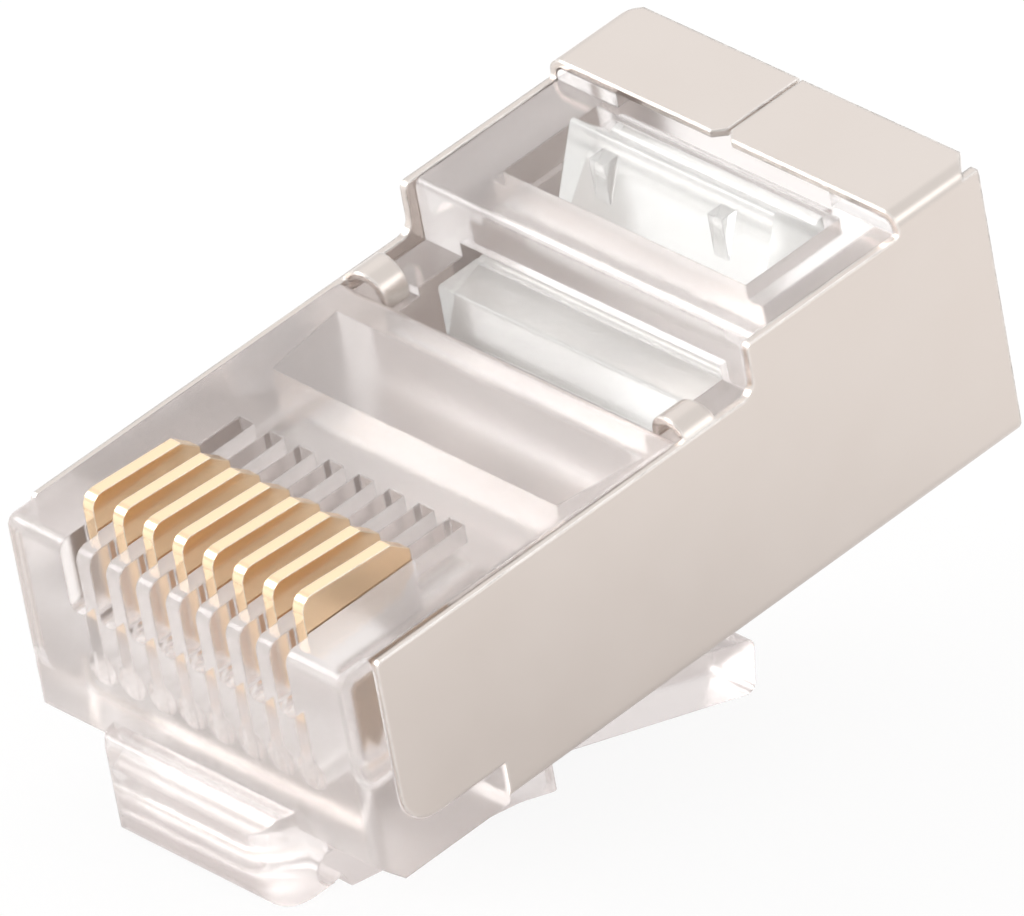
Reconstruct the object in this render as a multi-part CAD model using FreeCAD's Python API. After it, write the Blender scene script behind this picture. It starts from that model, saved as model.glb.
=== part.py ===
import FreeCAD, Part
import math
import os
from FreeCAD import Vector

# Shielded eight-way modular plug, before it is crimped. Sizes in millimetres.
# X runs across the contacts, Y from the nose to the cable end, Z up to the contact side.
# The origin is on the front face's plane, midway across, level with the underside.

# Overall
body_length = 21.41             # front face to the shield's rear edge
nose_width = 11.68
sheet_recess = 0.19             # nose's side to the narrower moulding inside the sheet
nose_height = 6.15              # underside to the contact side
block_height = 7.44             # underside to the top of the rear block
rear_height = 8.06              # underside to the top of the shield's flaps
running_clearance = 0.03        # between a moving piece and what guides it
sheet_clearance = 0.03          # between the folded sheet and the moulding

# Nose and its chambers
nose_length = 11.25             # front face to the groove
front_edge_radius = 0.35
nose_chamfer = 0.70             # under the front face
groove_length = 2.60            # nose to rear block
roof_thickness = 0.65           # over the wire chamber
roof_edge_radius = 0.40
floor_thickness = 0.80          # underside to the chamber floor
mouth_height = 6.40             # underside to the top of the cable mouth
mouth_chamfer = 0.30
chamber_front = 7.95            # the wires' slit opens into the chamber here
chamber_front_half = 4.83
chamber_rear_half = 5.19
chamber_ramp_length = 1.30      # ramp that lifts the wires from the floor
beam_depth = 0.80               # beam across the roof's rear end
beam_bottom = 3.70
mouth_half = 4.56

# Contacts
contact_count = 8
contact_pitch = 1.016
contact_thickness = 0.35
contact_front = 0.85            # front face to the blade
contact_length = 3.45
contact_top = 7.10              # before crimping
contact_slope = 0.20            # fall of the top edge towards the rear
contact_body_bottom = 3.85
contact_tip = 2.95              # points of the tines
contact_corner = 0.38
contact_heel_length = 0.54      # rear chamfer
contact_heel_drop = 0.42
contact_edge_radius = 0.10
tine_count = 3
tine_tip_radius = 0.05
crimp_travel = 0.90
jack_slot_width = 0.55          # front slots, which the jack's wires enter
jack_slot_depth = 1.95
jack_slot_radius = 0.20
rear_slot_width = 0.50
rear_slot_length = 1.65
rear_slot_depth = 1.20

# Wire channels
wire_radius = 0.46
wire_height = 2.35              # centre line above the underside
wire_channel_front = 0.90
wire_slit_front = 6.20          # the channels end in one flat slit here

# Shield, one folded sheet
sheet_thickness = 0.20
sheet_bend_radius = 0.45        # outside of the fold
shield_front = 1.00
shield_side_top = 6.08
shield_front_bottom = 1.16
shield_front_corner = 1.00
shield_corner = 0.20            # the sheet's other cut corners
shield_wrap_start = 4.20        # where the sheet starts to wrap under
shield_step_ahead = 0.30        # riser ahead of the rear block
shield_step_radius = 0.40       # at the riser's foot
shield_block_top = 7.47
flap_depth = 2.72
seam_width = 0.10
seam_notch = 0.30
flap_corner = 0.55
hook_start = 0.03               # behind the nose
hook_width = 1.05
hook_taper = 0.15               # at each side, from root to tip
hook_reach = 1.38               # from the sheet's outer face inwards
hook_top = 6.40
hook_roll_radius = 0.65         # outside
hook_bottom = 5.55
rail_top = 5.70                 # moulding's rails, which the hooks roll over

# Rear block
bridge_depth = 1.45             # wall ahead of the clamp's pocket
bridge_bottom = 6.10
bridge_rib_bottom = 4.90
bridge_rib_inset = 0.55
rear_frame_depth = 2.66         # clamp's pocket to the housing's rear end
housing_rear_inset = 0.30       # inside the shield's rear edge
pocket_half = 4.10
pillar_gap_half = 3.60          # between the pillars behind the pocket
window_half = 4.40
block_edge_radius = 0.20

# Conductor clamp, a hinged bar in the groove
bar_clearance = 0.07            # to the groove's walls at each end
bar_reach = 1.50                # hinge to the front face
bar_top = 5.45
bar_front_bottom = 3.85
bar_hinge_height = 5.20
bar_hinge_radius = 0.25
bar_edge_radius = 0.10
bar_rear_gap = 0.10             # hinge to the rear face
bar_rear_bottom = 5.05

# Jacket clamp, a hinged wedge in the pocket
clamp_half = 3.45
clamp_hinge_height = 6.90
clamp_hinge_radius = 0.30
clamp_ridge_height = 8.22
clamp_ridge_reach = 1.36        # hinge to the ridge
clamp_toe_height = 5.50
clamp_toe_reach = 2.50          # hinge to the toe
clamp_toe_depth = 0.80
clamp_edge_radius = 0.10
clamp_heel_radius = 0.20
peg_spacing = 4.00
peg_size = 0.50
peg_root = 6.50                 # hidden in the wedge
peg_top = 7.86
peg_reach = 1.76                # hinge to the pegs' centres

# Latch
latch_width = 6.20
latch_root_front = 0.90         # ahead of the front face
latch_root_top = 1.20
latch_root_bevel = 0.45
latch_root_bottom = -1.35
latch_root_corner = 1.00
latch_root_top_radius = 0.20
latch_hinge_y = 0.75
latch_hinge_z = -0.88
latch_hinge_radius = 0.44
latch_neck_reach = 0.26         # hinge to where the leaf leaves it
latch_heel_reach = 0.45         # hinge to the leaf's full depth
latch_heel_bottom = -1.75
latch_heel_radius = 0.15
latch_knee_radius = 2.00
latch_knee_y = 6.60
latch_knee_bottom = -2.75
latch_knee_top = -1.35
latch_shoulder_y = 7.90
latch_shoulder_radius = 0.30
latch_tab_width = 3.20
latch_tab_fillet = 0.40         # tab to shoulders
latch_end_y = 15.42
latch_end_bottom = -5.74
latch_end_top_y = 15.66
latch_end_top = -4.27
latch_end_radius = 0.25

# Worked out from the sizes above
nose_half = nose_width / 2
core_half = nose_half - sheet_recess
sheet_inside = core_half + sheet_clearance
sheet_outside = sheet_inside + sheet_thickness
block_start = nose_length + groove_length
pocket_start = block_start + bridge_depth
housing_rear = body_length - housing_rear_inset
pocket_end = housing_rear - rear_frame_depth
flap_start = body_length - flap_depth
flap_underside = rear_height - sheet_thickness
first_contact = -contact_pitch * (contact_count - 1) / 2
chamber_top = nose_height - roof_thickness
beam_front = nose_length - beam_depth
contact_rear = contact_front + contact_length
tine_bottom = contact_tip - crimp_travel
groove_hinge_y = block_start + bridge_rib_inset
cut_margin = 1.0                            # how far a cutter runs past what it cuts
overlap = 0.10                              # how far two cutters run into each other
tiny = 0.01                                 # for comparing places
neck_share = 0.9                            # of a knuckle's radius, where its arm leaves it


def side_view(x):
    return lambda point: Vector(x, point.x, point.y)


def end_view(y):
    return lambda point: Vector(point.x, y, point.y)


def plan_view(z):
    return lambda point: Vector(point.x, point.y, z)


def rounded_face(corners, place):
    # A flat face. Each corner is (a, b) or (a, b, radius), in the plane that place() sets.
    points = [Vector(corner[0], corner[1], 0) for corner in corners]
    arcs = []
    for index, corner in enumerate(points):
        radius = corners[index][2] if len(corners[index]) > 2 else 0
        back = (points[index - 1] - corner).normalize()
        ahead = (points[(index + 1) % len(points)] - corner).normalize()
        if radius == 0:
            arcs.append((corner, None, corner))
            continue
        half_angle = back.getAngle(ahead) / 2
        reach = radius / math.tan(half_angle)
        inwards = (back + ahead).normalize()
        middle = corner + inwards * (radius / math.sin(half_angle) - radius)
        arcs.append((corner + back * reach, middle, corner + ahead * reach))
    edges = []
    for index, (start, middle, end) in enumerate(arcs):
        if middle is not None:
            edges.append(Part.Arc(place(start), place(middle), place(end)).toShape())
        following = arcs[(index + 1) % len(arcs)][0]
        edges.append(Part.LineSegment(place(end), place(following)).toShape())
    return Part.Face(Part.Wire(edges))


def side_prism(corners, x_low, x_high):
    return rounded_face(corners, side_view(x_low)).extrude(Vector(x_high - x_low, 0, 0))


def end_prism(corners, y_low, y_high):
    return rounded_face(corners, end_view(y_low)).extrude(Vector(0, y_high - y_low, 0))


def plan_prism(corners, z_low, z_high):
    return rounded_face(corners, plan_view(z_low)).extrude(Vector(0, 0, z_high - z_low))


def block(x_low, x_high, y_low, y_high, z_low, z_high):
    corner = Vector(x_low, y_low, z_low)
    return Part.makeBox(x_high - x_low, y_high - y_low, z_high - z_low, corner)


def rod_across(y, z, radius, half_width):
    return Part.makeCylinder(radius, 2 * half_width, Vector(-half_width, y, z), Vector(1, 0, 0))


def rounded_edges(shape, radius, wanted):
    edges = [edge for edge in shape.Edges if wanted(edge.CenterOfMass, edge.BoundBox)]
    return shape.makeFillet(radius, edges)


def contact_places():
    return [first_contact + contact_pitch * index for index in range(contact_count)]


def save(shape, name):
    shape.removeSplitter().exportStep(f"parts/{name}.step")


# Shield

def shield_side_outline():
    riser = block_start - shield_step_ahead
    top = rear_height + cut_margin
    return [
        (shield_front, shield_front_bottom, shield_front_corner),
        (shield_front, shield_side_top, shield_corner),
        (riser, shield_side_top, shield_step_radius),
        (riser, shield_block_top, shield_corner),
        (flap_start, shield_block_top, shield_corner / 2),
        (flap_start, top),
        (body_length, top),
        (body_length, -cut_margin),
        (shield_wrap_start, -cut_margin),
        (shield_wrap_start, shield_front_bottom),
    ]


def shield_tube():
    outer = sheet_outside
    inner = sheet_inside
    inner_radius = sheet_bend_radius - sheet_thickness
    low = sheet_thickness
    outside = [(-outer, 0), (outer, 0), (outer, rear_height), (-outer, rear_height)]
    inside = [(-inner, low), (inner, low), (inner, flap_underside), (-inner, flap_underside)]
    skin = end_prism([corner + (sheet_bend_radius,) for corner in outside], 0, body_length)
    hollow = end_prism([corner + (inner_radius,) for corner in inside], -cut_margin,
                       body_length + cut_margin)
    return skin.cut(hollow)


def shield_hook(side):
    # A tab of the side wall, rolled over the moulding's rail and down into the groove.
    outer = sheet_outside
    inner = sheet_inside
    tip = outer - hook_reach
    root = hook_bottom
    under = hook_top - sheet_thickness
    inner_radius = hook_roll_radius - sheet_thickness
    corners = [
        (outer, root),
        (outer, hook_top, hook_roll_radius),
        (tip, hook_top, hook_roll_radius),
        (tip, hook_bottom),
        (tip + sheet_thickness, hook_bottom),
        (tip + sheet_thickness, under, inner_radius),
        (inner, under, inner_radius),
        (inner, root),
    ]
    start = nose_length + hook_start
    end = start + hook_width
    corners = [(side * corner[0],) + corner[1:] for corner in corners]
    plan = [
        (side * outer, start),
        (side * outer, end),
        (side * tip, end - hook_taper),
        (side * tip, start + hook_taper),
    ]
    tapered = plan_prism(plan, hook_bottom, hook_top)
    return end_prism(corners, start, end).common(tapered)


def flap_cuts():
    # The seam between the flaps, its flared front and the bevelled rear corners.
    low = shield_block_top
    high = rear_height + cut_margin
    seam_half = seam_width / 2
    flare = seam_half + seam_notch
    rear = body_length + cut_margin
    front = flap_start - cut_margin
    seam = [
        (-flare - cut_margin, front),
        (flare + cut_margin, front),
        (seam_half, flap_start + seam_notch),
        (seam_half, rear),
        (-seam_half, rear),
        (-seam_half, flap_start + seam_notch),
    ]
    cuts = [plan_prism(seam, low, high)]
    for side in (-1, 1):
        edge = side * sheet_outside
        corner = [
            (edge - side * flap_corner, body_length),
            (edge, body_length - flap_corner),
            (edge + side, body_length - flap_corner),
            (edge + side, body_length + cut_margin),
            (edge - side * flap_corner, body_length + cut_margin),
        ]
        cuts.append(plan_prism(corner, flap_underside - overlap, high))
    return cuts


def make_shield():
    profile = side_prism(shield_side_outline(), -nose_width, nose_width)
    sheet = shield_tube().common(profile)
    sheet = sheet.fuse([shield_hook(-1), shield_hook(1)])
    return sheet.cut(flap_cuts())


# Housing

def nose_collar():
    # Full-width front end, with the sheet's seat cut into both sides.
    rear = shield_wrap_start - sheet_clearance
    outline = [
        (0, nose_chamfer),
        (0, nose_height),
        (rear, nose_height),
        (rear, 0),
        (nose_chamfer, 0),
    ]
    collar = side_prism(outline, -nose_half, nose_half)

    def is_round(centre, box):
        upright_front = box.YMax < tiny and box.XLength < tiny and box.ZLength > tiny
        front_top = box.YMax < tiny and box.ZMin > nose_height - tiny
        side_top = box.ZMin > nose_height - tiny and abs(centre.x) > nose_half - tiny
        return upright_front or front_top or side_top

    collar = rounded_edges(collar, front_edge_radius, is_round)
    for side in (-1, 1):
        x_low, x_high = sorted((side * core_half, side * (nose_half + cut_margin)))
        collar = collar.cut(side_prism(shield_seat_outline(), x_low, x_high))
    return collar


def shield_seat_outline():
    front = shield_front - sheet_clearance
    bottom = shield_front_bottom - sheet_clearance
    rear = shield_wrap_start + cut_margin
    top = nose_height + cut_margin
    return [(front, bottom, shield_front_corner), (front, top), (rear, top), (rear, bottom)]


def housing_core():
    # Side profile of everything that the sheet wraps.
    under = sheet_thickness + sheet_clearance
    frame_top = flap_underside - sheet_clearance
    outline = [
        (shield_front, under),
        (shield_front, nose_height),
        (nose_length, nose_height, roof_edge_radius),
        (nose_length, rail_top),
        (block_start, rail_top),
        (block_start, block_height, block_edge_radius),
        (flap_start, block_height),
        (flap_start, frame_top),
        (housing_rear, frame_top),
        (housing_rear, under),
    ]
    core = side_prism(outline, -core_half, core_half)
    corner_radius = sheet_bend_radius - sheet_thickness + sheet_clearance

    def is_long_corner(centre, box):
        lower = box.ZMax < under + tiny
        upper = box.ZMin > frame_top - tiny
        at_side = abs(centre.x) > core_half - tiny
        return at_side and box.YLength > tiny and (lower or upper)

    return rounded_edges(core, corner_radius, is_long_corner)


def latch_root():
    outline = [
        (latch_hinge_y, latch_root_bottom),
        (-latch_root_front, latch_root_bottom, latch_root_bevel),
        (-latch_root_front, latch_root_top - latch_root_bevel),
        (-latch_root_front + latch_root_bevel, latch_root_top, latch_root_top_radius),
        (latch_hinge_y, latch_root_top),
    ]
    half = latch_width / 2
    root = side_prism(outline, -half, half)
    plan = [
        (-half, latch_hinge_y + cut_margin),
        (-half, -latch_root_front, latch_root_corner),
        (half, -latch_root_front, latch_root_corner),
        (half, latch_hinge_y + cut_margin),
    ]
    rounded = root.common(plan_prism(plan, latch_root_bottom - cut_margin, nose_height))
    seat_radius = latch_hinge_radius + running_clearance
    return rounded.cut(rod_across(latch_hinge_y, latch_hinge_z, seat_radius, nose_half))


def contact_slots():
    guide_half = contact_thickness / 2 + running_clearance
    above = contact_top + cut_margin
    bottom = tine_bottom - running_clearance * 3
    slots = []
    for x in contact_places():
        slots.append(block(x - guide_half, x + guide_half, contact_front - running_clearance,
                           contact_rear + running_clearance, bottom, above))
        jack_half = jack_slot_width / 2
        jack_slot = [
            (x - jack_half, above),
            (x - jack_half, nose_height - jack_slot_depth, jack_slot_radius),
            (x + jack_half, nose_height - jack_slot_depth, jack_slot_radius),
            (x + jack_half, above),
        ]
        slots.append(end_prism(jack_slot, -cut_margin, contact_front))
        rear_half = rear_slot_width / 2
        slots.append(block(x - rear_half, x + rear_half, contact_rear,
                           contact_rear + rear_slot_length, nose_height - rear_slot_depth, above))
    return slots


def wire_channels():
    # A round channel for each wire, and the flat slit that they end in.
    ahead = Vector(0, 1, 0)
    length = wire_slit_front - wire_channel_front + overlap
    slit_half = wire_radius - first_contact
    slit = block(-slit_half, slit_half, wire_slit_front, chamber_front + overlap,
                 wire_height - wire_radius, wire_height + wire_radius)
    channels = [
        Part.makeCylinder(wire_radius, length, Vector(x, wire_channel_front, wire_height), ahead)
        for x in contact_places()
    ]
    return channels + [slit]


def chamber_section(y, half_width, z_low, z_high):
    corners = [(-half_width, z_low), (half_width, z_low), (half_width, z_high), (-half_width, z_high)]
    points = [Vector(x, y, z) for x, z in corners]
    return Part.makePolygon(points + points[:1])


def wire_chamber():
    outline = [
        (chamber_front, wire_height - wire_radius),
        (chamber_front, chamber_top),
        (beam_front, chamber_top),
        (beam_front, floor_thickness),
        (chamber_front + chamber_ramp_length, floor_thickness),
    ]
    plan = [
        (-chamber_front_half, chamber_front),
        (chamber_front_half, chamber_front),
        (chamber_rear_half, beam_front),
        (-chamber_rear_half, beam_front),
    ]
    across = side_prism(outline, -chamber_rear_half, chamber_rear_half)
    return across.common(plan_prism(plan, 0, nose_height))


def chambers():
    # Wire chamber, throat under the beam and groove, cable chamber and flared cable mouth.
    throat = block(-window_half, window_half, beam_front - overlap, groove_hinge_y,
                   floor_thickness, beam_bottom)
    under_rib = block(-window_half, window_half, groove_hinge_y - overlap, pocket_start,
                      floor_thickness, bridge_rib_bottom)
    cable_chamber = block(-mouth_half, mouth_half, pocket_start, housing_rear,
                          floor_thickness, mouth_height)
    flare = Part.makeLoft([
        chamber_section(housing_rear - mouth_chamfer, mouth_half, floor_thickness, mouth_height),
        chamber_section(housing_rear, mouth_half + mouth_chamfer,
                        floor_thickness - mouth_chamfer, mouth_height + mouth_chamfer),
    ], True, True)
    return [wire_chamber(), throat, under_rib, cable_chamber, flare]


def groove_cuts():
    above = block_height + cut_margin
    low = beam_bottom - overlap
    window = block(-window_half, window_half, nose_length, block_start, low, above)
    under_bridge = block(-window_half, window_half, block_start - overlap, groove_hinge_y,
                         low, bridge_bottom)
    seat_radius = bar_hinge_radius + running_clearance
    bar_seat = rod_across(groove_hinge_y, bar_hinge_height, seat_radius, window_half)
    cuts = [window, under_bridge, bar_seat]
    hook_end = nose_length + hook_start + hook_width + sheet_clearance
    hook_inner = sheet_outside - hook_reach + sheet_thickness + sheet_clearance
    for side in (-1, 1):
        x_low, x_high = sorted((side * (window_half - overlap), side * hook_inner))
        cuts.append(block(x_low, x_high, nose_length, hook_end, hook_bottom - overlap, above))
    return cuts


def pocket_cuts():
    above = flap_underside + cut_margin
    pocket = block(-pocket_half, pocket_half, pocket_start, pocket_end, mouth_height - overlap, above)
    seat_radius = clamp_hinge_radius + running_clearance
    seat = rod_across(pocket_end, clamp_hinge_height, seat_radius, clamp_half + running_clearance)
    under_flaps = block(-pillar_gap_half, pillar_gap_half, pocket_end - overlap,
                        housing_rear + cut_margin, block_height, above)
    return [pocket, seat, under_flaps]


def make_housing():
    housing = housing_core().fuse([nose_collar(), latch_root()])
    housing = housing.cut(chambers())
    housing = housing.cut(groove_cuts() + pocket_cuts())
    housing = housing.cut(wire_channels())
    return housing.cut(contact_slots())


# Moving pieces

def make_contact(x):
    # A flat blade with three tines that pierce the wire when the blade is pressed down.
    tine_pitch = contact_length / tine_count
    outline = [
        (contact_front, contact_top, contact_corner),
        (contact_rear - contact_heel_length, contact_top - contact_slope, contact_edge_radius),
        (contact_rear, contact_top - contact_slope - contact_heel_drop, contact_edge_radius),
    ]
    for index in range(tine_count):
        tine_rear = contact_rear - tine_pitch * index
        outline.append((tine_rear, contact_body_bottom))
        outline.append((tine_rear - tine_pitch / 2, contact_tip, tine_tip_radius))
    outline.append((contact_front, contact_body_bottom))
    half = contact_thickness / 2
    return side_prism(outline, x - half, x + half)


def make_conductor_clamp():
    half = window_half - bar_clearance
    front = groove_hinge_y - bar_reach
    rear = groove_hinge_y - bar_rear_gap
    outline = [
        (front, bar_front_bottom, bar_edge_radius),
        (front, bar_top, bar_edge_radius),
        (rear, bar_top, bar_edge_radius),
        (rear, bar_rear_bottom),
    ]
    knuckle = rod_across(groove_hinge_y, bar_hinge_height, bar_hinge_radius, half)
    return side_prism(outline, -half, half).fuse(knuckle)


def make_jacket_clamp():
    ridge = (pocket_end - clamp_ridge_reach, clamp_ridge_height)
    toe = (pocket_end - clamp_toe_reach, clamp_toe_height)
    neck = pocket_end - clamp_hinge_radius
    outline = [
        (toe[0], toe[1], clamp_edge_radius),
        (ridge[0], ridge[1], clamp_edge_radius),
        (neck, clamp_hinge_height + clamp_hinge_radius * neck_share),
        (pocket_end, clamp_hinge_height),
        (neck, clamp_hinge_height - clamp_hinge_radius * neck_share),
        (toe[0] + clamp_toe_depth, toe[1], clamp_heel_radius),
    ]
    wedge = side_prism(outline, -clamp_half, clamp_half)
    knuckle = rod_across(pocket_end, clamp_hinge_height, clamp_hinge_radius, clamp_half)
    half = peg_size / 2
    peg_y = pocket_end - peg_reach
    pegs = []
    for side in (-1, 1):
        x = side * peg_spacing / 2
        pegs.append(block(x - half, x + half, peg_y - half, peg_y + half, peg_root, peg_top))
    return wedge.fuse([knuckle] + pegs)


def make_latch_lever():
    # A wide spring leaf up to the catch shoulders, and a narrow thumb tab behind them.
    neck_top = latch_hinge_z + latch_hinge_radius * neck_share
    neck_bottom = latch_hinge_z - latch_hinge_radius * neck_share
    neck_y = latch_hinge_y + latch_neck_reach
    outline = [
        (latch_hinge_y, latch_hinge_z),
        (neck_y, neck_top),
        (latch_knee_y, latch_knee_top, latch_knee_radius),
        (latch_end_top_y, latch_end_top, latch_end_radius),
        (latch_end_y, latch_end_bottom, latch_end_radius),
        (latch_knee_y, latch_knee_bottom, latch_knee_radius),
        (latch_hinge_y + latch_heel_reach, latch_heel_bottom, latch_heel_radius),
        (neck_y, neck_bottom),
    ]
    half = latch_width / 2
    tab = latch_tab_width / 2
    leaf = side_prism(outline, -half, half)
    rear = latch_end_top_y + cut_margin
    plan = [
        (-half, 0),
        (half, 0),
        (half, latch_shoulder_y, latch_shoulder_radius),
        (tab, latch_shoulder_y, latch_tab_fillet),
        (tab, rear),
        (-tab, rear),
        (-tab, latch_shoulder_y, latch_tab_fillet),
        (-half, latch_shoulder_y, latch_shoulder_radius),
    ]
    leaf = leaf.common(plan_prism(plan, latch_end_bottom - cut_margin, nose_height))
    return leaf.fuse(rod_across(latch_hinge_y, latch_hinge_z, latch_hinge_radius, half))


os.makedirs("parts", exist_ok=True)
save(make_housing(), "housing")
save(make_shield(), "shield")
save(make_latch_lever(), "latch_lever")
save(make_conductor_clamp(), "conductor_clamp")
save(make_jacket_clamp(), "jacket_clamp")
for number, x in enumerate(contact_places(), start=1):
    save(make_contact(x), f"contact_{number}")
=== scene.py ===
import math
import bpy
from mathutils import Matrix, Quaternion, Vector

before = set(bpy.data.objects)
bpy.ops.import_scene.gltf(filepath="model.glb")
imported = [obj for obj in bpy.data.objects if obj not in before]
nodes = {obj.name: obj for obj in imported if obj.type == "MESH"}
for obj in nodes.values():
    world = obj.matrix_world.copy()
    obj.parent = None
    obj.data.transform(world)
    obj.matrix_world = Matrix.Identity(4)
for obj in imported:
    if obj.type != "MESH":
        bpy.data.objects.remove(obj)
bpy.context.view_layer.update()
mm = 0.001
print("frame loaded:", len(nodes), "nodes")


# small helpers for shader trees
def addNode(tree, kind, x, y, **values):
    node = tree.nodes.new(kind)
    node.location = (x, y)
    for name, value in values.items():
        setattr(node, name, value)
    return node


def addMath(tree, operation, x, y, *values):
    # a Math node; each value is a socket or a number
    node = addNode(tree, "ShaderNodeMath", x, y, operation=operation)
    for index, value in enumerate(values):
        if isinstance(value, (int, float)):
            node.inputs[index].default_value = value
        else:
            tree.links.new(value, node.inputs[index])
    return node.outputs[0]


def addMix(tree, x, y, factor, first, second):
    # a colour Mix node; each of the two is a socket or a colour
    node = addNode(tree, "ShaderNodeMix", x, y, data_type="RGBA")
    tree.links.new(factor, node.inputs["Factor"])
    for label, value in (("A", first), ("B", second)):
        if isinstance(value, tuple):
            node.inputs[label].default_value = (*value, 1)
        else:
            tree.links.new(value, node.inputs[label])
    return node.outputs["Result"]


def addShaderMix(tree, x, y, factor, first, second):
    node = addNode(tree, "ShaderNodeMixShader", x, y)
    for index, value in enumerate((factor, first, second)):
        tree.links.new(value, node.inputs[index])
    return node.outputs[0]


def newGroup(name, inputs, outputs):
    group = bpy.data.node_groups.new(name, "ShaderNodeTree")
    for label, value in inputs:
        socket = group.interface.new_socket(
            name=label, in_out="INPUT", socket_type="NodeSocketFloat")
        socket.default_value = value
    for label in outputs:
        kind = "NodeSocketVector" if label == "Normal" else "NodeSocketFloat"
        group.interface.new_socket(name=label, in_out="OUTPUT", socket_type=kind)
    start = addNode(group, "NodeGroupInput", -900, 0)
    end = addNode(group, "NodeGroupOutput", 700, 0)
    return group, start, end


def useGroup(tree, group, x, y, **values):
    node = addNode(tree, "ShaderNodeGroup", x, y, node_tree=group)
    for label, value in values.items():
        node.inputs[label].default_value = value
    return node


def newMaterial(name):
    material = bpy.data.materials.new(name)
    material.use_nodes = True
    tree = material.node_tree
    shader = tree.nodes["Principled BSDF"]
    output = tree.nodes["Material Output"]
    shader.location = (300, 200)
    output.location = (900, 200)
    return material, tree, shader, output


# shared effects, each a node group
def makeMouldAndShadeGroup():
    # slow waves and faint haze of injection moulded plastic, and a mask of the underside for
    # painted shade
    group, start, end = newGroup(
        "mouldFlowAndUnderShade",
        [("Scale", 300.0), ("Haze", 0.2), ("Under Top", 0.4 * mm), ("Under Bottom", -1.2 * mm)],
        ["Clouding", "Roughness", "Height", "Painted Shade Below"])
    place = addNode(group, "ShaderNodeTexCoord", -900, 300)
    slow = addNode(group, "ShaderNodeTexNoise", -500, 300)
    slow.inputs["Detail"].default_value = 0.0
    group.links.new(place.outputs["Object"], slow.inputs["Vector"])
    group.links.new(start.outputs["Scale"], slow.inputs["Scale"])
    group.links.new(slow.outputs["Fac"], end.inputs["Clouding"])
    group.links.new(slow.outputs["Fac"], end.inputs["Height"])
    # from 0.75 to 1.25 times the haze
    change = addMath(group, "MULTIPLY_ADD", -350, -50, slow.outputs["Fac"], 0.5, 0.75)
    haze = addMath(group, "MULTIPLY", -200, -50, change, start.outputs["Haze"])
    group.links.new(haze, end.inputs["Roughness"])
    # painted shade mask: 1 below the underside, where the plug shades its latch and root
    split = addNode(group, "ShaderNodeSeparateXYZ", -500, -250)
    group.links.new(place.outputs["Object"], split.inputs[0])
    under = addNode(group, "ShaderNodeMapRange", -200, -250)        # 1 below the underside
    group.links.new(start.outputs["Under Top"], under.inputs["From Min"])
    group.links.new(start.outputs["Under Bottom"], under.inputs["From Max"])
    group.links.new(split.outputs["Z"], under.inputs["Value"])
    group.links.new(under.outputs[0], end.inputs["Painted Shade Below"])
    return group


def makeGrainGroup():
    # rolled grain, drawn out along the plug, with small dull spots
    group, start, end = newGroup(
        "rolledGrain",
        [("Scale", 900.0), ("Stretch", 0.06), ("Spot Scale", 350.0),
         ("Low", 0.19), ("High", 0.265)],
        ["Grain", "Roughness", "Spots"])
    place = addNode(group, "ShaderNodeTexCoord", -900, 300)
    squeeze = addNode(group, "ShaderNodeCombineXYZ", -800, 150)
    squeeze.inputs["X"].default_value = 1.0
    squeeze.inputs["Z"].default_value = 1.0
    group.links.new(start.outputs["Stretch"], squeeze.inputs["Y"])
    drawn = addNode(group, "ShaderNodeVectorMath", -650, 300, operation="MULTIPLY")
    group.links.new(place.outputs["Object"], drawn.inputs[0])
    group.links.new(squeeze.outputs[0], drawn.inputs[1])
    grain = addNode(group, "ShaderNodeTexNoise", -450, 300)
    grain.inputs["Detail"].default_value = 5.0
    group.links.new(drawn.outputs[0], grain.inputs["Vector"])
    group.links.new(start.outputs["Scale"], grain.inputs["Scale"])
    spots = addNode(group, "ShaderNodeTexNoise", -450, 0)
    group.links.new(start.outputs["Spot Scale"], spots.inputs["Scale"])
    spots.inputs["Detail"].default_value = 3.0
    group.links.new(place.outputs["Object"], spots.inputs["Vector"])
    spread = addNode(group, "ShaderNodeMapRange", -200, 100)
    group.links.new(spots.outputs["Fac"], spread.inputs["Value"])
    spread.inputs["From Min"].default_value = 0.3
    spread.inputs["From Max"].default_value = 0.7
    group.links.new(start.outputs["Low"], spread.inputs["To Min"])
    group.links.new(start.outputs["High"], spread.inputs["To Max"])
    group.links.new(grain.outputs["Fac"], end.inputs["Grain"])
    group.links.new(spread.outputs[0], end.inputs["Roughness"])
    group.links.new(spots.outputs["Fac"], end.inputs["Spots"])
    return group


def makeEdgeGroup():
    # 1 on edges and corners, 0 on flat faces
    group, start, end = newGroup(
        "edgeMask", [("Width", 0.1 * mm), ("Sharpness", 6.0)], ["Mask", "Normal"])
    soft = addNode(group, "ShaderNodeBevel", -600, 100, samples=3)
    group.links.new(start.outputs["Width"], soft.inputs["Radius"])
    plain = addNode(group, "ShaderNodeNewGeometry", -600, -150)
    turn = addNode(group, "ShaderNodeVectorMath", -350, 0, operation="DOT_PRODUCT")
    group.links.new(soft.outputs[0], turn.inputs[0])
    group.links.new(plain.outputs["Normal"], turn.inputs[1])
    away = addMath(group, "SUBTRACT", -150, 0, 1.0, turn.outputs["Value"])
    mask = addMath(group, "MULTIPLY", 50, 0, away, start.outputs["Sharpness"])
    group.links.new(mask, end.inputs["Mask"])
    group.links.new(soft.outputs[0], end.inputs["Normal"])
    return group


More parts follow.
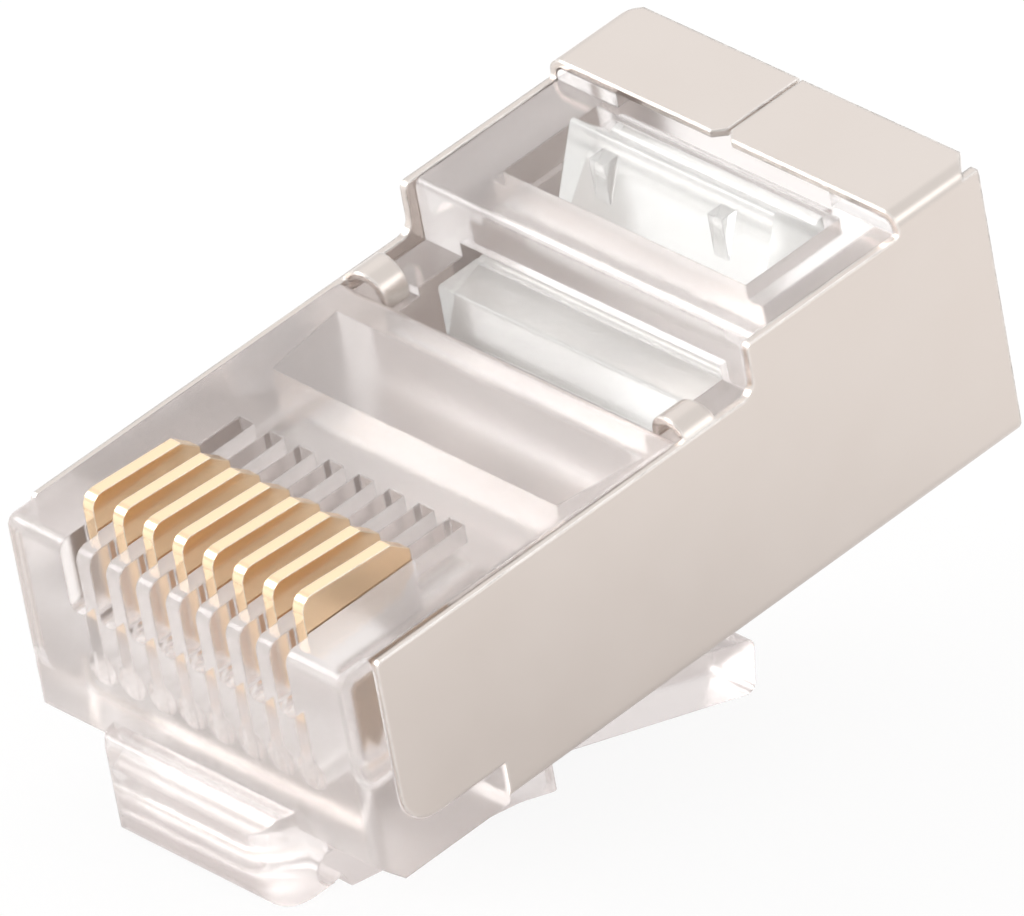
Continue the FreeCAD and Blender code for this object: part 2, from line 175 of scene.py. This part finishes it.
def makeInnerShadeGroup():
    # painted shade: 1 on faces that look towards the middle of the plug, but not in the groove,
    # where the sheet is rolled over and looks bright, so it is left unshaded
    group, start, end = newGroup(
        "innerShadeSide",
        [("Height", 3.7 * mm), ("Turned In", -1 * mm),
         ("Groove", 12.55 * mm), ("Half Groove", 1.45 * mm)],
        ["Mask"])
    place = addNode(group, "ShaderNodeTexCoord", -900, 300)
    split = addNode(group, "ShaderNodeSeparateXYZ", -700, 300)
    group.links.new(place.outputs["Object"], split.inputs[0])
    fall = addMath(group, "SUBTRACT", -500, 200, split.outputs["Z"], start.outputs["Height"])
    outwards = addNode(group, "ShaderNodeCombineXYZ", -300, 250)
    group.links.new(split.outputs["X"], outwards.inputs["X"])
    group.links.new(fall, outwards.inputs["Z"])
    face = addNode(group, "ShaderNodeNewGeometry", -500, -50)
    turn = addNode(group, "ShaderNodeVectorMath", -100, 100, operation="DOT_PRODUCT")
    group.links.new(outwards.outputs[0], turn.inputs[0])
    group.links.new(face.outputs["True Normal"], turn.inputs[1])
    inwards = addMath(group, "LESS_THAN", 100, 100,
                      turn.outputs["Value"], start.outputs["Turned In"])
    along = addMath(group, "SUBTRACT", -300, -250, split.outputs["Y"], start.outputs["Groove"])
    along = addMath(group, "ABSOLUTE", -100, -250, along)
    outside = addMath(group, "GREATER_THAN", 100, -250, along, start.outputs["Half Groove"])
    mask = addMath(group, "MULTIPLY", 350, 0, inwards, outside)
    group.links.new(mask, end.inputs["Mask"])
    return group


mouldFlowAndUnderShade = makeMouldAndShadeGroup()
rolledGrain = makeGrainGroup()
edgeMask = makeEdgeGroup()
innerShadeSide = makeInnerShadeGroup()
print("shared effects ready")


# clear plastic of the moulding
clearPlastic = {
    "tint": (0.965, 0.945, 0.937),
    "cloudTint": (0.955, 0.93, 0.92),
    "underShadeTint": (0.77, 0.73, 0.72),    # painted shade: the latch and its root, under the plug, are tinted greyer
    "clearShare": 0.97,
    "paintedGlow": (0.8, 0.73, 0.71),          # painted glow: emitted light in place of light that the milky plastic scatters
    "paintedGlowShare": 0.054,                 # strength of the painted glow, at each surface
    "ior": 1.585,
    "roundedEdge": 0.07 * mm,
    "waveScale": 260.0,
    "waveHeight": 0.012 * mm,
    "haze": 0.21,                       # roughness, with slow changes round it
}

# the two hinged clamps are milkier
clampPlastic = {
    **clearPlastic,
    "tint": (0.935, 0.935, 0.925),
    "cloudTint": (0.91, 0.915, 0.905),
    "clearShare": 0.76,
    # painted glow of the clamps, fainter
    "paintedGlow": (0.85, 0.83, 0.81),
    "paintedGlowShare": 0.03,
}


def makeClearPlastic(name, look):
    material, tree, shader, output = newMaterial(name)
    flow = useGroup(tree, mouldFlowAndUnderShade, -600, 200, Scale=look["waveScale"], Haze=look["haze"])
    colour = addMix(tree, -200, 350, flow.outputs["Clouding"], look["tint"], look["cloudTint"])
    # painted shade: the plastic below the underside is tinted greyer
    colour = addMix(tree, 0, 350, flow.outputs["Painted Shade Below"], colour, look["underShadeTint"])
    tree.links.new(colour, shader.inputs["Base Color"])
    tree.links.new(flow.outputs["Roughness"], shader.inputs["Roughness"])
    shader.inputs["IOR"].default_value = look["ior"]
    shader.inputs["Transmission Weight"].default_value = look["clearShare"]
    # painted glow: the plastic emits a faint milky light, though it is no lamp
    shader.inputs["Emission Color"].default_value = (*look["paintedGlow"], 1)
    shader.inputs["Emission Strength"].default_value = look["paintedGlowShare"]
    soft = addNode(tree, "ShaderNodeBevel", -450, -150, samples=2)
    soft.inputs["Radius"].default_value = look["roundedEdge"]
    bump = addNode(tree, "ShaderNodeBump", -200, -50)
    bump.inputs["Distance"].default_value = look["waveHeight"]
    tree.links.new(flow.outputs["Height"], bump.inputs["Height"])
    tree.links.new(soft.outputs[0], bump.inputs["Normal"])
    tree.links.new(bump.outputs[0], shader.inputs["Normal"])
    # lamps reach what is inside the plastic
    path = addNode(tree, "ShaderNodeLightPath", 300, 600)
    through = addNode(tree, "ShaderNodeBsdfTransparent", 300, -350)
    through.inputs["Color"].default_value = (*look["tint"], 1)
    mixed = addShaderMix(tree, 650, 200, path.outputs["Is Shadow Ray"],
                         shader.outputs[0], through.outputs[0])
    tree.links.new(mixed, output.inputs["Surface"])
    return material


# nickel plated sheet of the shield
nickelPlate = {
    "colour": (0.7, 0.64, 0.6),
    "dullColour": (0.66, 0.595, 0.55),
    # painted highlight on edges and corners
    "edgeHighlightColour": (0.96, 0.93, 0.9),
    # painted shade on faces turned towards the middle of the plug
    "innerShadeColour": (0.3, 0.255, 0.23),
    "roughness": (0.19, 0.265),
    "grainScale": 900.0,
    "grainHeight": 0.002 * mm,
    "edgeWidth": 0.12 * mm,
}


def makePlatedMetal(name, look):
    material, tree, shader, output = newMaterial(name)
    grain = useGroup(tree, rolledGrain, -700, 200, Scale=look["grainScale"],
                     Low=look["roughness"][0], High=look["roughness"][1])
    edge = useGroup(tree, edgeMask, -700, -150, Width=look["edgeWidth"])
    inner = useGroup(tree, innerShadeSide, -700, 450)
    colour = addMix(tree, -350, 350, grain.outputs["Spots"], look["dullColour"], look["colour"])
    # painted shade: faces turned towards the middle are darkened
    colour = addMix(tree, -200, 350, inner.outputs["Mask"], colour, look["innerShadeColour"])
    # painted highlight: edges and corners are made near white
    colour = addMix(tree, -50, 350, edge.outputs["Mask"], colour, look["edgeHighlightColour"])
    tree.links.new(colour, shader.inputs["Base Color"])
    tree.links.new(grain.outputs["Roughness"], shader.inputs["Roughness"])
    shader.inputs["Metallic"].default_value = 1.0
    bump = addNode(tree, "ShaderNodeBump", -100, -50)
    bump.inputs["Distance"].default_value = look["grainHeight"]
    tree.links.new(grain.outputs["Grain"], bump.inputs["Height"])
    tree.links.new(edge.outputs["Normal"], bump.inputs["Normal"])
    tree.links.new(bump.outputs[0], shader.inputs["Normal"])
    return material


# gold plated blades
goldPlate = {
    "colour": (0.98, 0.76, 0.51),
    "dullColour": (0.95, 0.72, 0.48),
    # painted highlight on edges and corners
    "edgeHighlightColour": (1.0, 0.97, 0.86),
    # painted shade on faces turned towards the middle of the plug, slight
    "innerShadeColour": (0.97, 0.75, 0.5),
    "roughness": (0.17, 0.26),
    "grainScale": 2500.0,
    "grainHeight": 0.001 * mm,
    "edgeWidth": 0.06 * mm,
}

plasticMaterial = makeClearPlastic("clearPlastic", clearPlastic)
clampMaterial = makeClearPlastic("clampPlastic", clampPlastic)
nickelMaterial = makePlatedMetal("nickelPlate", nickelPlate)
goldMaterial = makePlatedMetal("goldPlate", goldPlate)


def giveMaterial(name, material):
    obj = nodes[name]
    obj.data.materials.clear()
    obj.data.materials.append(material)


for name in nodes:
    if name.startswith("contact_"):
        giveMaterial(name, goldMaterial)
    elif name == "shield":
        giveMaterial(name, nickelMaterial)
    elif name.endswith("_clamp"):
        giveMaterial(name, clampMaterial)
    else:
        giveMaterial(name, plasticMaterial)
print("materials given")


# the plug rests on its latch root and the end of its thumb tab
restSetup = {
    "rootEnd": 2 * mm,                  # the root is in front of this
    "tabStart": 12 * mm,                # the tab's end is behind this
    "steepest": 40,                     # degrees
    "halvings": 40,
}

# the table touches both
tableSetup = {
    "size": 600 * mm,
    "centre": 8 * mm,                   # along the plug
    "colour": (0.89, 0.875, 0.87),      # painted shadow: darker paper round the plug
    "farColour": (1.0, 0.99, 0.985),
    "middle": (0, 10 * mm, 0),
    "reach": (17 * mm, 27 * mm),        # where the painted shadow turns into the far colour
    "roughness": 0.6,
    "specular": 0.1,
    "glow": 0.9,                        # how much of the camera's view of it is plain white
    "glowInGlass": 0.15,                # the same, as metal and clear plastic show it
}


def lowest(points, tilt):
    normal = Vector((0, math.sin(tilt), math.cos(tilt)))
    return min(normal.dot(point) for point in points)


def findTilt(setup):
    # the angle at which the root and the tab's end are both on the table
    points = [v.co.copy() for name in ("housing", "latch_lever") for v in nodes[name].data.vertices]
    root = [point for point in points if point.y < setup["rootEnd"]]
    tabEnd = [point for point in points if point.y > setup["tabStart"]]
    low, high = 0.0, math.radians(setup["steepest"])
    for step in range(setup["halvings"]):
        middle = (low + high) / 2
        if lowest(tabEnd, middle) > lowest(root, middle):
            high = middle
        else:
            low = middle
    return low, lowest(root, low)


tilt, tableLevel = findTilt(restSetup)
tableNormal = Vector((0, math.sin(tilt), math.cos(tilt)))
print("table tilt", round(math.degrees(tilt), 2), "level mm", round(tableLevel / mm, 2))


def makeTable(setup):
    half = setup["size"] / 2
    mesh = bpy.data.meshes.new("table")
    turn = Matrix.Rotation(-tilt, 4, "X")
    corners = [Vector((x * half, y * half, 0)) for x, y in ((-1, -1), (1, -1), (1, 1), (-1, 1))]
    centre = Vector((0, setup["centre"], 0))
    centre.z = (tableLevel - tableNormal.y * centre.y) / tableNormal.z
    mesh.from_pydata([turn @ corner + centre for corner in corners], [], [(0, 1, 2, 3)])
    table = bpy.data.objects.new("table", mesh)
    bpy.context.collection.objects.link(table)
    material, tree, shader, output = newMaterial("tablePaper")
    place = addNode(tree, "ShaderNodeTexCoord", -900, 200)
    away = addNode(tree, "ShaderNodeVectorMath", -700, 200, operation="DISTANCE")
    away.inputs[1].default_value = setup["middle"]
    tree.links.new(place.outputs["Object"], away.inputs[0])
    fade = addNode(tree, "ShaderNodeMapRange", -500, 200, interpolation_type="SMOOTHSTEP")
    fade.inputs["From Min"].default_value = setup["reach"][0]
    fade.inputs["From Max"].default_value = setup["reach"][1]
    tree.links.new(away.outputs["Value"], fade.inputs["Value"])
    # painted shadow: the paper is darker near the plug and fades to the far colour
    paperWithShadow = addMix(tree, -250, 200, fade.outputs[0], setup["colour"], setup["farColour"])
    tree.links.new(paperWithShadow, shader.inputs["Base Color"])
    shader.inputs["Roughness"].default_value = setup["roughness"]
    shader.inputs["Specular IOR Level"].default_value = setup["specular"]
    glow = addNode(tree, "ShaderNodeEmission", 300, -250)
    path = addNode(tree, "ShaderNodeLightPath", -200, 500)
    seen = addMath(tree, "MULTIPLY", 0, 600, path.outputs["Is Camera Ray"], setup["glow"])
    inside = addMath(tree, "MAXIMUM", 0, 400,
                     path.outputs["Is Glossy Ray"], path.outputs["Is Transmission Ray"])
    inside = addMath(tree, "MULTIPLY", 150, 400, inside, setup["glowInGlass"])
    share = addMath(tree, "MAXIMUM", 300, 500, seen, inside)
    lit = addShaderMix(tree, 600, 200, share, shader.outputs[0], glow.outputs[0])
    # from below the table isn't there
    under = addNode(tree, "ShaderNodeNewGeometry", 400, 700)
    clear = addNode(tree, "ShaderNodeBsdfTransparent", 600, -100)
    final = addShaderMix(tree, 800, 200, under.outputs["Backfacing"], lit, clear.outputs[0])
    tree.links.new(final, output.inputs["Surface"])
    output.location = (1000, 200)
    mesh.materials.append(material)


makeTable(tableSetup)


# sky and lamps
skySetup = {
    "above": (1.0, 0.995, 0.99),
    "level": (0.97, 0.96, 0.955),
    "below": (0.97, 0.965, 0.96),
    "levelAt": 0.5,                     # 0 is straight down and 1 straight up
    "aboveFrom": 0.8,
    "strength": 1.0,
}


def makeSky(setup):
    world = bpy.data.worlds.new("studio")
    bpy.context.scene.world = world
    world.use_nodes = True
    tree = world.node_tree
    tree.nodes.clear()
    place = addNode(tree, "ShaderNodeTexCoord", -900, 0)
    height = addNode(tree, "ShaderNodeVectorMath", -700, 0, operation="DOT_PRODUCT")
    height.inputs[1].default_value = tableNormal
    tree.links.new(place.outputs["Generated"], height.inputs[0])
    share = addNode(tree, "ShaderNodeMapRange", -500, 0)
    share.inputs["From Min"].default_value = -1.0
    tree.links.new(height.outputs["Value"], share.inputs["Value"])
    ramp = addNode(tree, "ShaderNodeValToRGB", -300, 0)
    ramp.color_ramp.elements[0].color = (*setup["below"], 1)
    ramp.color_ramp.elements[1].color = (*setup["above"], 1)
    ramp.color_ramp.elements[1].position = setup["aboveFrom"]
    middle = ramp.color_ramp.elements.new(setup["levelAt"])
    middle.color = (*setup["level"], 1)
    tree.links.new(share.outputs[0], ramp.inputs[0])
    sky = addNode(tree, "ShaderNodeBackground", 0, 100)
    sky.inputs["Strength"].default_value = setup["strength"]
    tree.links.new(ramp.outputs[0], sky.inputs["Color"])
    plain = addNode(tree, "ShaderNodeBackground", 0, -100)
    plain.inputs["Color"].default_value = (1, 1, 1, 1)
    path = addNode(tree, "ShaderNodeLightPath", 0, 400)
    seen = addMath(tree, "MAXIMUM", 100, 450,
                   path.outputs["Is Camera Ray"], path.outputs["Is Glossy Ray"])
    seen = addMath(tree, "MAXIMUM", 200, 350, seen, path.outputs["Is Transmission Ray"])
    mixed = addShaderMix(tree, 250, 0, seen, sky.outputs[0], plain.outputs[0])
    output = addNode(tree, "ShaderNodeOutputWorld", 450, 0)
    tree.links.new(mixed, output.inputs["Surface"])
    world.cycles.sampling_method = "NONE"       # an even sky needs no light sampling


makeSky(skySetup)

lampTarget = Vector((0, 9 * mm, 3 * mm))
lampSetup = {
    # name: (azimuth, elevation, distance mm, width mm, watts)
    "keyLamp": (-48, 32, 260, 130, 0.28),
    "backLamp": (-128, 45, 300, 200, 0.016),
    "sideLamp": (110, 35, 300, 140, 0.05),
}


def directionTo(azimuth, elevation):
    # 0 is in front of the nose and 90 to its right
    a, e = math.radians(azimuth), math.radians(elevation)
    return Vector((math.sin(a) * math.cos(e), -math.cos(a) * math.cos(e), math.sin(e)))


def makeLamp(name, azimuth, elevation, distance, width, watts):
    data = bpy.data.lights.new(name, "AREA")
    data.shape = "DISK"
    data.size = width * mm
    data.energy = watts
    lamp = bpy.data.objects.new(name, data)
    bpy.context.collection.objects.link(lamp)
    back = directionTo(azimuth, elevation)
    back.rotate(Matrix.Rotation(-tilt, 3, "X"))     # lamps are set from the table
    lamp.location = lampTarget + back * distance * mm
    lamp.rotation_mode = "QUATERNION"
    lamp.rotation_quaternion = (-back).to_track_quat("-Z", "Y")


for name, values in lampSetup.items():
    makeLamp(name, *values)
print("table, sky and lamps ready")


# camera
cameraSetup = {
    "aim": (0.226, 10.54, 3.727),       # mm
    "azimuth": 51.67,
    "elevation": 35.58,
    "roll": -10.7,
    "distance": 520.8,
    "lens": 777.85,
}


def makeCamera(setup):
    data = bpy.data.cameras.new("camera")
    data.sensor_width = 36
    data.lens = setup["lens"]
    data.clip_start = 0.01
    data.clip_end = 10
    camera = bpy.data.objects.new("camera", data)
    bpy.context.collection.objects.link(camera)
    back = directionTo(setup["azimuth"], setup["elevation"])
    camera.location = (Vector(setup["aim"]) + back * setup["distance"]) * mm
    camera.rotation_mode = "QUATERNION"
    roll = Quaternion((0, 0, 1), math.radians(setup["roll"]))
    camera.rotation_quaternion = (-back).to_track_quat("-Z", "Y") @ roll
    bpy.context.scene.camera = camera


makeCamera(cameraSetup)
bpy.context.scene.view_settings.view_transform = "Standard"
# light goes to and fro inside the clear plastic many times before it leaves
bounceLimit = 16
cycles = bpy.context.scene.cycles
cycles.max_bounces = bounceLimit
cycles.glossy_bounces = bounceLimit
cycles.transmission_bounces = bounceLimit

print("done")
